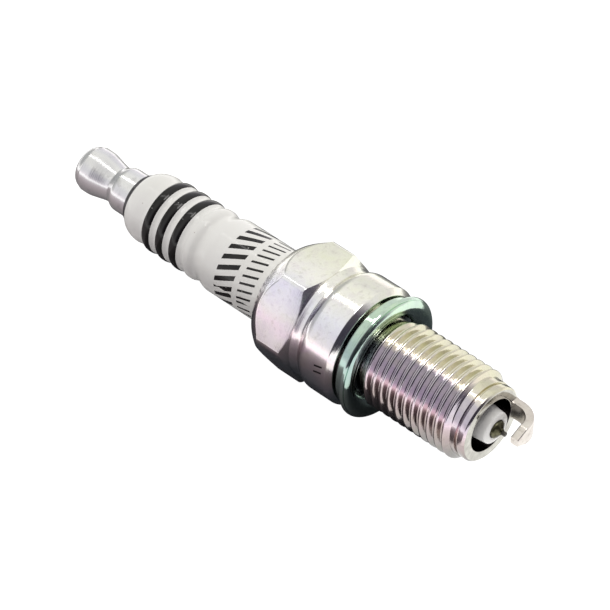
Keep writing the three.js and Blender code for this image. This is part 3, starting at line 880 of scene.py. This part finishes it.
def make_wire():
    low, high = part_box("fine_wire_tip")
    start, end = (low.x - seat_x) / MM, (high.x - seat_x) / MM
    skin = Turning(evenly(40))
    skin.plain(softened([(start, 0.1, 0), (start, WIRE_RADIUS, 0.04),
                         (end, WIRE_RADIUS, 0.05), (end, 0.1, 0)]))
    skin.tip(end)
    skin.back_to_start()
    skin.tip(start)
    return mesh_piece("fine_wire", skin.points, skin.faces)


def dull_alloy(name, dark, light):
    finish = Finish(name, 1.0, 0.35)
    finish.colour(finish.ramp(finish.noise(1600, 4), [(0.3, dark), (0.7, light)]))
    finish.vary_roughness(finish.noise(900, 3), 0.26, 0.42)
    finish.relief(finish.noise(3000, 3), 0.000012)
    return finish.material


rod = make_centre_electrode()
rod.data.materials.append(dull_alloy("electrode_alloy", display(58, 58, 42),
                                     display(112, 110, 88)))
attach(rod, "plug")
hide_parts("centre_electrode")
wire = make_wire()
wire.data.materials.append(dull_alloy("fine_wire_metal", display(66, 64, 60),
                                      display(96, 94, 88)))
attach(wire, "plug")
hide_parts("fine_wire_tip")

# ---- ground electrode ------------------------------------------------------------------------
# A flat nickel bar, resistance-welded to the shell's end face, bent over the centre electrode
# and cut to a taper at its tip.
ground_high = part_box("ground_electrode")[1]
BAR_THICK = 1.15
BAR_WIDTH = 2.6
TIP_WIDTH = 1.05
TAPER = 1.7
PAST_AXIS = 0.2
BEND = 2.05
GROUND_ANGLE = math.radians(1.5)
BAR_EDGE = 0.16
EDGE_POINTS = 5
WELD_FLARE = 0.1
bar_outer_face = (ground_high.x - seat_x) / MM
# The root stands on the middle of the end face, inside its chamfer.
bar_root = (BORE_RADIUS + RELIEF_RADIUS - 0.3) / 2


def make_ground_electrode():
    # The bar's middle line runs out from the weld, round the bend, and in past the axis.
    middle_bend = BEND + BAR_THICK / 2
    top = bar_outer_face - BAR_THICK / 2
    path = []
    weld = REACH + 0.02
    straight = top - middle_bend
    for k in range(5):
        path.append((weld + (straight - weld) * k / 4, bar_root, 0.0))
    for k in range(1, 15):
        a = math.pi / 2 * k / 14
        path.append((straight + middle_bend * math.sin(a),
                     bar_root - middle_bend + middle_bend * math.cos(a), a))
    inward = bar_root - middle_bend
    length = inward + PAST_AXIS
    for k in range(1, 13):
        path.append((top, inward - length * k / 12, math.pi / 2))
    points, faces = [], []

    def section(along, out, bend, half_width, half_thick):
        """One cross-section with rounded edges, square to the middle line."""
        ring = []
        for cx, cy, start in ((1, 1, 0), (-1, 1, 90), (-1, -1, 180), (1, -1, 270)):
            for k in range(EDGE_POINTS):
                a = math.radians(start + 90 * k / (EDGE_POINTS - 1))
                across = cx * (half_width - BAR_EDGE) + BAR_EDGE * math.cos(a)
                thick = cy * (half_thick - BAR_EDGE) + BAR_EDGE * math.sin(a)
                x = along + thick * math.sin(bend)
                r = out + thick * math.cos(bend)
                y = r * math.cos(GROUND_ANGLE) - across * math.sin(GROUND_ANGLE)
                z = r * math.sin(GROUND_ANGLE) + across * math.cos(GROUND_ANGLE)
                ring.append(len(points))
                points.append((seat_x + x * MM, y * MM, axis_z + z * MM))
        return ring

    rings = []
    for i, (x, r, bend) in enumerate(path):
        from_tip = r + PAST_AXIS if bend > 1.5 else TAPER + 1
        share = max(0, 1 - from_tip / TAPER)
        width = BAR_WIDTH + (TIP_WIDTH - BAR_WIDTH) * share
        flare = WELD_FLARE if i == 0 else 0
        rings.append(section(x, r, bend, width / 2 + flare, BAR_THICK / 2 + flare / 3))
    for one, other in zip(rings, rings[1:]):
        count = len(one)
        for k in range(count):
            n = (k + 1) % count
            faces.append((one[k], one[n], other[n], other[k]))
    faces.append(rings[0])
    faces.append(rings[-1])
    return mesh_piece("ground_electrode_bar", points, faces)


def satin_nickel():
    finish = Finish("satin_nickel", 1.0, 0.3)
    tint = finish.ramp(finish.noise(420, 4), [
        (0.3, display(206, 198, 190)), (0.7, display(232, 226, 218))])
    dust = finish.ramp(finish.noise(1700, 5), [
        (0.32, display(170, 162, 152)), (0.46, display(255, 255, 255))])
    finish.colour(finish.blend(0.35, tint, dust, "MULTIPLY"))
    finish.vary_roughness(finish.noise(500, 3), 0.22, 0.36)
    finish.relief(finish.noise(1400, 3, (1, 1, 6)), 0.000015)
    return finish.material


bar = make_ground_electrode()
bar.data.materials.append(satin_nickel())
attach(bar, "plug")
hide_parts("ground_electrode")

# ---- parts inside ----------------------------------------------------------------------------
# Glass seals, resistor, copper core, packing wires, talc and the washer under the insulator.
# They are closed in when the plug is whole, and keep their shapes from the frame.


def inside_finish(name, metallic, rough, dark, light, grain):
    finish = Finish(name, metallic, rough)
    finish.colour(finish.ramp(finish.noise(grain, 5), [(0.35, dark), (0.65, light)]))
    finish.vary_roughness(finish.noise(grain / 2, 3), rough - 0.08, rough + 0.08)
    finish.relief(finish.noise(grain * 2, 3), 0.00002)
    return finish.material


copper_glass = inside_finish("copper_glass", 0.3, 0.55, display(92, 58, 42),
                             display(150, 98, 70), 1500)
carbon_glass = inside_finish("carbon_glass", 0.0, 0.7, display(26, 26, 28),
                             display(58, 57, 58), 2200)
copper = inside_finish("drawn_copper", 1.0, 0.3, display(176, 104, 70),
                       display(208, 136, 98), 700)
packing_wire = inside_finish("packing_wire", 1.0, 0.35, display(130, 130, 130),
                             display(176, 175, 172), 900)
pressed_talc = inside_finish("pressed_talc", 0.0, 0.9, display(206, 200, 186),
                             display(236, 232, 222), 3000)
for node, material in {
    "upper_glass_seal": copper_glass, "lower_glass_seal": copper_glass,
    "resistor": carbon_glass, "copper_core": copper,
    "upper_packing_ring": packing_wire, "lower_packing_ring": packing_wire,
    "insulator_seat_washer": packing_wire, "talc_filling": pressed_talc,
}.items():
    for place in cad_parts[node].material_slots:
        place.material = material

# ---- table, lights and camera ----------------------------------------------------------------
# A plain white table in soft light: a pale room with one dark side, and a strip and a panel
# overhead. A long lens looks down from the firing end.
TABLE_HALF = 3.0
TABLE_GAP = 0.00002
table = mesh_piece("table_top", [(-TABLE_HALF, -TABLE_HALF, 0), (TABLE_HALF, -TABLE_HALF, 0),
                                 (TABLE_HALF, TABLE_HALF, 0), (-TABLE_HALF, TABLE_HALF, 0)],
                   [(0, 1, 2, 3)])
table.location.z = cad_box[0].z - TABLE_GAP
white = Finish("table_white", 0.0, 0.6)
white.colour(white.ramp(white.noise(3, 2), [(0.3, display(150, 150, 150)),
                                            (0.7, display(156, 156, 156))]))
white.set("Emission Color", (1, 1, 1, 1))
white.set("Emission Strength", 1.0)
table.data.materials.append(white.material)

DARK_SIDE = (0.80, -0.58, 0.12)
world = bpy.data.worlds.new("studio")
world.use_nodes = True
sky, wires = world.node_tree.nodes, world.node_tree.links
direction = sky.new("ShaderNodeTexCoord").outputs["Generated"]


def sky_ramp(value, stops):
    """Grey levels of the room along one direction."""
    made = sky.new("ShaderNodeValToRGB")
    wires.new(value, made.inputs["Fac"])
    band = made.color_ramp.elements
    while len(band) < len(stops):
        band.new(0.5)
    for stop, (place, shade) in zip(band, stops):
        stop.position = place
        stop.color = (*shade, 1)
    return made.outputs["Color"]


direction_parts = sky.new("ShaderNodeSeparateXYZ")
wires.new(direction, direction_parts.inputs[0])
by_height = sky_ramp(direction_parts.outputs[2], [
    (0.0, (1.35, 1.25, 1.3)), (0.05, (1.2, 1.12, 1.16)), (0.14, (0.9, 0.88, 0.92)),
    (0.5, (0.84, 0.84, 0.86)), (0.75, (0.96, 0.96, 0.92)), (1.0, (0.8, 0.8, 0.78))])
end_to_end = sky.new("ShaderNodeMapRange")
end_to_end.inputs["From Min"].default_value = -1.0
wires.new(direction_parts.outputs[0], end_to_end.inputs["Value"])
dark_side = sky.new("ShaderNodeVectorMath")
dark_side.operation = "DOT_PRODUCT"
dark_side.inputs[1].default_value = Vector(DARK_SIDE).normalized()
wires.new(direction, dark_side.inputs[0])
by_side = sky_ramp(dark_side.outputs["Value"], [
    (0.0, (1, 1, 1)), (0.32, (0.95, 0.95, 0.95)), (0.52, (0.34, 0.32, 0.36)),
    (0.68, (0.09, 0.08, 0.1)), (1.0, (0.05, 0.05, 0.06))])
by_end = sky_ramp(end_to_end.outputs[0], [
    (0.0, (0.5, 0.52, 0.5)), (0.12, (0.6, 0.61, 0.58)), (0.22, (1, 1, 1)), (1.0, (1, 1, 1))])
shade = by_height
for layer in (by_side, by_end):
    product = sky.new("ShaderNodeMix")
    product.data_type = "RGBA"
    product.blend_type = "MULTIPLY"
    product.inputs[0].default_value = 1.0
    wires.new(shade, product.inputs[6])
    wires.new(layer, product.inputs[7])
    shade = product.outputs[2]
wires.new(shade, sky["Background"].inputs["Color"])
sky["Background"].inputs["Strength"].default_value = 1.0
bpy.context.scene.world = world
bpy.context.scene.view_settings.view_transform = "Standard"

# Dull boards on the table, hidden from the camera, darken what the plug reflects from below.
BOARD_HEIGHT = table.location.z + 0.0002
BOARD_HALF_WIDTH = 0.060
GREY_PLACES = (0, 0.25, 0.4, 0.48, 0.62, 0.8, 1)
for name, start, end, greys in (
        ("flag_shell", -0.026, 0.026, (
            (206, 200, 204), (150, 140, 146), (104, 97, 102), (70, 70, 78), (60, 64, 72),
            (140, 140, 142), (220, 222, 220))),
        ("flag_terminal", -0.075, -0.026, (
            (232, 228, 230), (214, 204, 210), (182, 172, 176), (146, 142, 144), (150, 148, 148),
            (206, 206, 202), (232, 234, 228)))):
    board = mesh_piece(name, [
        (start, -BOARD_HALF_WIDTH, BOARD_HEIGHT), (end, -BOARD_HALF_WIDTH, BOARD_HEIGHT),
        (end, BOARD_HALF_WIDTH, BOARD_HEIGHT), (start, BOARD_HALF_WIDTH, BOARD_HEIGHT)],
        [(0, 1, 2, 3)])
    cloth = Finish(name + "_cloth", 0.0, 0.95)
    cloth_y = cloth.node("ShaderNodeSeparateXYZ", {0: cloth.place}).outputs[1]
    across_cloth = cloth.node("ShaderNodeMapRange", {
        0: cloth_y, 1: -BOARD_HALF_WIDTH, 2: BOARD_HALF_WIDTH})
    cloth.colour(cloth.ramp(across_cloth.outputs[0], [
        (place, display(*grey)) for place, grey in zip(GREY_PLACES, greys)]))
    board.data.materials.append(cloth.material)
    board.visible_camera = False
    board.visible_shadow = False

LAMP_DISTANCE = 0.6
middle = Vector((0.0, 0.0, axis_z))
for name, toward, length, width, power in (
        ("overhead_strip", (-0.485, 0.07, 0.872), 0.5, 0.022, 0.2),
        ("overhead_panel", (0.1, 0.05, 1.0), 0.2, 0.2, 0.7)):
    light = bpy.data.lights.new(name, "AREA")
    light.shape = "RECTANGLE"
    light.size, light.size_y = length, width
    light.energy = power
    light.color = (1.0, 0.98, 0.96)
    lamp = bpy.data.objects.new(name, light)
    facing = Vector(toward).normalized()
    side = Vector((0, 1, 0)).cross(facing).normalized()
    lamp.matrix_world = Matrix.Translation(middle + facing * LAMP_DISTANCE) @ Matrix(
        (side, facing.cross(side), facing)).transposed().to_4x4()
    lamp.visible_camera = False
    bpy.context.scene.collection.objects.link(lamp)

FROM_AXIS = math.radians(29.0)
SLOPE = math.radians(32.9)
ROUND_ANGLE = math.radians(129.35)
DISTANCE = 0.460
LENS = 219.08
AIM_FROM_END_FACE = 30.42
back = Vector((math.sin(FROM_AXIS), math.cos(FROM_AXIS) * math.cos(ROUND_ANGLE),
               math.cos(FROM_AXIS) * math.sin(ROUND_ANGLE)))
axis = Vector((1, 0, 0))
flat_axis = (axis - back * axis.dot(back)).normalized()
across = back.cross(flat_axis).normalized()
right = flat_axis * math.cos(SLOPE) + across * math.sin(SLOPE)
up = back.cross(right).normalized()
camera_data = bpy.data.cameras.new("camera")
camera_data.sensor_width = 36.0
camera_data.lens = LENS
camera = bpy.data.objects.new("camera", camera_data)
look_at = Vector((shell_high.x - AIM_FROM_END_FACE * MM, 0, axis_z))
camera.matrix_world = Matrix.Translation(look_at + back * DISTANCE) @ Matrix(
    (right, up, back)).transposed().to_4x4()
bpy.context.scene.collection.objects.link(camera)
bpy.context.scene.camera = camera
